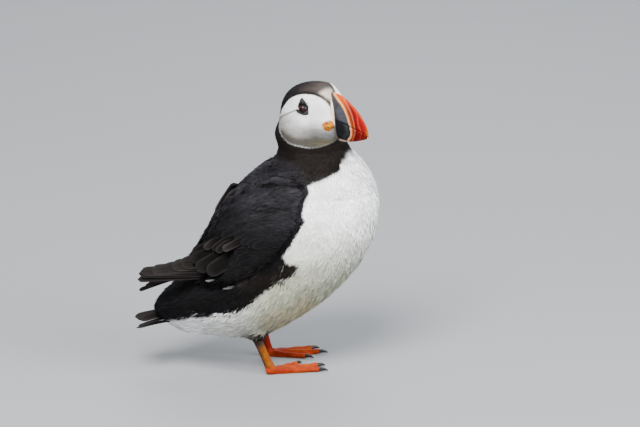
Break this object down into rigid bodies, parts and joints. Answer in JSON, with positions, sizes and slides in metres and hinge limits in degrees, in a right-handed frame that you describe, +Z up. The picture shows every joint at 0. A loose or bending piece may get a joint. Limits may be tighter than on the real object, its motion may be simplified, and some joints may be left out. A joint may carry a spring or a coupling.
{
  "type": "atlantic puffin",
  "caption": "Life-size still model of an adult Atlantic puffin in summer plumage, standing upright with its head turned to its right.",
  "frame": {"origin": "centre of the bird's bounding box on the floor it stands on", "axes": "+X the way the body faces, +Y the bird's left, +Z up"},
  "size_m": [0.1754, 0.1038, 0.2089],
  "materials": {
    "black_plumage": "black feathers with a faint sheen",
    "brown_black_plumage": "brown-black flight feathers",
    "white_plumage": "soft white feathers",
    "grey_face": "short pale grey face feathers",
    "slate_horn": "satin slate-grey horn",
    "cream_horn": "satin cream horn",
    "red_horn": "satin orange-red horn",
    "gape_skin": "wrinkled yellow-orange skin",
    "eye": "wet and glossy",
    "ornament": "bare grey horny skin",
    "foot_skin": "scaly orange skin",
    "claw": "satin black horn"
  },
  "bodies": {
    "root": {"trunk": "white_plumage", "neck": "black_plumage", "head": "grey_face", "bill_rim": "cream_horn", "bill_upper_plate": "slate_horn", "bill_lower_plate": "slate_horn", "bill_upper_tip": "red_horn", "bill_lower_tip": "red_horn", "gape_right": "gape_skin", "gape_left": "gape_skin", "eye_right": "eye", "eye_left": "eye", "eye_upper_ornament_right": "ornament", "eye_upper_ornament_left": "ornament", "eye_lower_ornament_right": "ornament", "eye_lower_ornament_left": "ornament", "wing_right_coverts": "black_plumage", "wing_left_coverts": "black_plumage", "wing_right_primaries": "brown_black_plumage", "wing_left_primaries": "brown_black_plumage", "wing_right_tertials": "brown_black_plumage", "wing_left_tertials": "brown_black_plumage", "tail": "black_plumage", "thigh_right": "white_plumage", "thigh_left": "white_plumage", "shank_right": "foot_skin", "shank_left": "foot_skin", "foot_right": "foot_skin", "foot_left": "foot_skin", "claw_outer_right": "claw", "claw_middle_right": "claw", "claw_inner_right": "claw", "claw_outer_left": "claw", "claw_middle_left": "claw", "claw_inner_left": "claw"}
  },
  "joints": []
}
